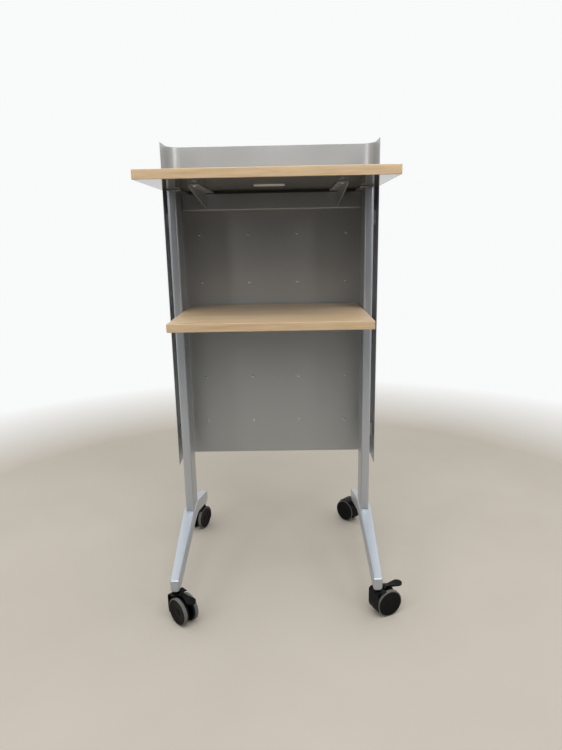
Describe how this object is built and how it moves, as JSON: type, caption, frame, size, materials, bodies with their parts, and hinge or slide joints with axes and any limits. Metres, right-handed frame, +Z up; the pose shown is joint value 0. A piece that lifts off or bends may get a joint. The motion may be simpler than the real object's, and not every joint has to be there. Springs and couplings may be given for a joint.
{
  "type": "presentation lectern",
  "caption": "Mobile presentation lectern: laminate worktop and lower shelf on steel posts, a wrap-around sheet-steel modesty panel, roof-shaped feet and twin-wheel swivel casters.",
  "frame": {"origin": "floor level, under the middle of the bounding box at rest; the lectern's plane of symmetry is x = -0.0138, because the casters at rest point different ways", "axes": "+Z up; the user stands on the -Y side and the audience on the +Y side; +X is the user's right"},
  "size_m": [0.6619, 0.6632, 1.269],
  "materials": {
    "oak_laminate": "light oak woodgrain laminate, satin",
    "oak_edging": "light oak woodgrain edging, satin",
    "silver_paint": "silver metallic powder coat, semi-gloss",
    "foot_silver": "silver metallic paint on cast aluminium, satin",
    "zinc_steel": "bright zinc plate",
    "black_plastic": "fine-textured black moulding",
    "grey_tread": "soft grey non-marking tread",
    "label_film": "blank satin film"
  },
  "bodies": {
    "frame": {"worktop": "oak_laminate", "worktop_edge_band": "oak_edging", "shelf_board": "oak_laminate", "shelf_edge_band": "oak_edging", "underside_label": "label_film", "modesty_panel": "silver_paint", "cross_beam": "silver_paint", "left_post": "silver_paint", "left_post_top_plate": "silver_paint", "left_support_arm": "silver_paint", "left_arm_screw": "zinc_steel", "left_shelf_bracket": "silver_paint", "left_panel_bracket_lower": "silver_paint", "left_panel_bracket_upper": "silver_paint", "left_foot": "foot_silver", "right_post": "silver_paint", "right_post_top_plate": "silver_paint", "right_support_arm": "silver_paint", "right_arm_screw": "zinc_steel", "right_shelf_bracket": "silver_paint", "right_panel_bracket_lower": "silver_paint", "right_panel_bracket_upper": "silver_paint", "right_foot": "foot_silver", "front_left_socket": "black_plastic", "front_left_stem": "zinc_steel", "front_right_socket": "black_plastic", "front_right_stem": "zinc_steel", "rear_left_socket": "black_plastic", "rear_left_stem": "zinc_steel", "rear_right_socket": "black_plastic", "rear_right_stem": "zinc_steel"},
    "front_left_caster": {"front_left_hood": "black_plastic", "front_left_axle": "zinc_steel", "front_left_brake_pin": "zinc_steel"},
    "front_left_left_roller": {"front_left_left_wheel": "black_plastic", "front_left_left_tread": "grey_tread"},
    "front_left_right_roller": {"front_left_right_wheel": "black_plastic", "front_left_right_tread": "grey_tread"},
    "front_left_brake": {"front_left_brake_pedal": "black_plastic"},
    "front_right_caster": {"front_right_hood": "black_plastic", "front_right_axle": "zinc_steel", "front_right_brake_pin": "zinc_steel"},
    "front_right_left_roller": {"front_right_left_wheel": "black_plastic", "front_right_left_tread": "grey_tread"},
    "front_right_right_roller": {"front_right_right_wheel": "black_plastic", "front_right_right_tread": "grey_tread"},
    "front_right_brake": {"front_right_brake_pedal": "black_plastic"},
    "rear_left_caster": {"rear_left_hood": "black_plastic", "rear_left_axle": "zinc_steel"},
    "rear_left_left_roller": {"rear_left_left_wheel": "black_plastic", "rear_left_left_tread": "grey_tread"},
    "rear_left_right_roller": {"rear_left_right_wheel": "black_plastic", "rear_left_right_tread": "grey_tread"},
    "rear_right_caster": {"rear_right_hood": "black_plastic", "rear_right_axle": "zinc_steel"},
    "rear_right_left_roller": {"rear_right_left_wheel": "black_plastic", "rear_right_left_tread": "grey_tread"},
    "rear_right_right_roller": {"rear_right_right_wheel": "black_plastic", "rear_right_right_tread": "grey_tread"}
  },
  "joints": [
    {"name": "front_left_swivel", "type": "hinge", "parent": "frame", "child": "front_left_caster", "pos_m": [-0.2858, -0.2695, 0.08], "axis": [0, 0, 1], "continuous": true},
    {"name": "front_left_left_roll", "type": "hinge", "parent": "front_left_caster", "child": "front_left_left_roller", "pos_m": [-0.26529, -0.29001, 0.0375], "axis": [0.7071, 0.7071, 0], "continuous": true},
    {"name": "front_left_right_roll", "type": "hinge", "parent": "front_left_caster", "child": "front_left_right_roller", "pos_m": [-0.26529, -0.29001, 0.0375], "axis": [0.7071, 0.7071, 0], "continuous": true},
    {"name": "front_left_brake_press", "type": "hinge", "parent": "front_left_caster", "child": "front_left_brake", "pos_m": [-0.27024, -0.28506, 0.0796], "axis": [0.7071, 0.7071, 0], "range_deg": [0, 14]},
    {"name": "front_right_swivel", "type": "hinge", "parent": "frame", "child": "front_right_caster", "pos_m": [0.2582, -0.2695, 0.08], "axis": [0, 0, 1], "continuous": true},
    {"name": "front_right_left_roll", "type": "hinge", "parent": "front_right_caster", "child": "front_right_left_roller", "pos_m": [0.28448, -0.25724, 0.0375], "axis": [-0.4226, 0.9063, 0], "continuous": true},
    {"name": "front_right_right_roll", "type": "hinge", "parent": "front_right_caster", "child": "front_right_right_roller", "pos_m": [0.28448, -0.25724, 0.0375], "axis": [-0.4226, 0.9063, 0], "continuous": true},
    {"name": "front_right_brake_press", "type": "hinge", "parent": "front_right_caster", "child": "front_right_brake", "pos_m": [0.27814, -0.2602, 0.0796], "axis": [-0.4226, 0.9063, 0], "range_deg": [0, 14]},
    {"name": "rear_left_swivel", "type": "hinge", "parent": "frame", "child": "rear_left_caster", "pos_m": [-0.2858, 0.2685, 0.08], "axis": [0, 0, 1], "continuous": true},
    {"name": "rear_left_left_roll", "type": "hinge", "parent": "rear_left_caster", "child": "rear_left_left_roller", "pos_m": [-0.29666, 0.24161, 0.0375], "axis": [0.9272, -0.3746, 0], "continuous": true},
    {"name": "rear_left_right_roll", "type": "hinge", "parent": "rear_left_caster", "child": "rear_left_right_roller", "pos_m": [-0.29666, 0.24161, 0.0375], "axis": [0.9272, -0.3746, 0], "continuous": true},
    {"name": "rear_right_swivel", "type": "hinge", "parent": "frame", "child": "rear_right_caster", "pos_m": [0.2582, 0.2685, 0.08], "axis": [0, 0, 1], "continuous": true},
    {"name": "rear_right_left_roll", "type": "hinge", "parent": "rear_right_caster", "child": "rear_right_left_roller", "pos_m": [0.23842, 0.28971, 0.0375], "axis": [-0.7314, -0.682, 0], "continuous": true},
    {"name": "rear_right_right_roll", "type": "hinge", "parent": "rear_right_caster", "child": "rear_right_right_roller", "pos_m": [0.23842, 0.28971, 0.0375], "axis": [-0.7314, -0.682, 0], "continuous": true}
  ]
}
